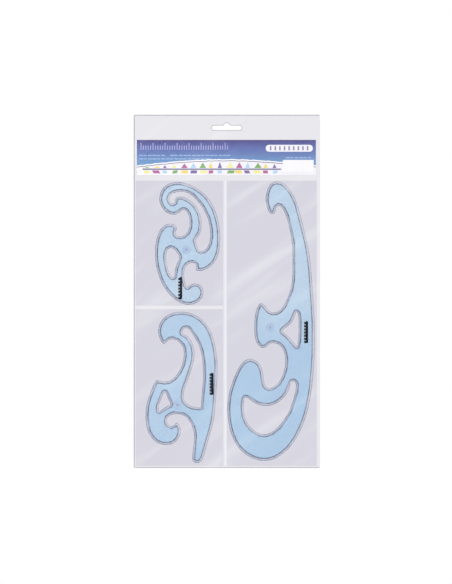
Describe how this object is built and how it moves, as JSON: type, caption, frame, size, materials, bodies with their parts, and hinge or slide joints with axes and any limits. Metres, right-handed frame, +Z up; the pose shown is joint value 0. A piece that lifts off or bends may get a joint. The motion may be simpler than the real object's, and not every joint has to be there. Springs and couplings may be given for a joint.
{
  "type": "french curve set in a hanging pouch",
  "caption": "French curves of different sizes, each in its own pocket of a clear welded film pouch with a header card and a hang slot.",
  "frame": {"origin": "top of the hang slot's middle notch, at the middle of the fused film's thickness", "axes": "+Z up along the pouch's height, X across its width, and the front with the header card faces -Y"},
  "size_m": [0.194, 0.0028, 0.3672],
  "materials": {
    "clear_film": "clear, slightly grey soft film",
    "fused_film": "pale fused film, finely embossed",
    "printed_card": "glossy printed card, violet to light blue",
    "label_paper": "plain white",
    "tinted_plastic": "clear polystyrene with a light blue tint",
    "black_print": "black hot-stamped foil"
  },
  "bodies": {
    "pouch": {"rear_film": "clear_film", "front_film": "clear_film", "hang_tab": "fused_film", "left_seam": "fused_film", "right_seam": "fused_film", "header_seam": "fused_film", "bottom_seam": "fused_film", "centre_seam": "fused_film", "cross_seam": "fused_film"},
    "card": {"header_card": "printed_card", "price_label": "label_paper"},
    "small": {"small_curve": "tinted_plastic", "small_mark": "black_print"},
    "medium": {"medium_curve": "tinted_plastic", "medium_mark": "black_print"},
    "large": {"large_curve": "tinted_plastic", "large_mark": "black_print"}
  },
  "joints": [
    {"name": "card_shift", "type": "slide", "parent": "pouch", "child": "card", "axis": [1, 0, 0], "range_m": [-0.001, 0.0006]},
    {"name": "small_shift", "type": "slide", "parent": "pouch", "child": "small", "axis": [1, 0, 0], "range_m": [-0.0195, 0.0022]},
    {"name": "medium_shift", "type": "slide", "parent": "pouch", "child": "medium", "axis": [1, 0, 0], "range_m": [-0.01, 0.0048]},
    {"name": "large_shift", "type": "slide", "parent": "pouch", "child": "large", "axis": [0, 0, 1], "range_m": [-0.0048, 0.0005]}
  ]
}
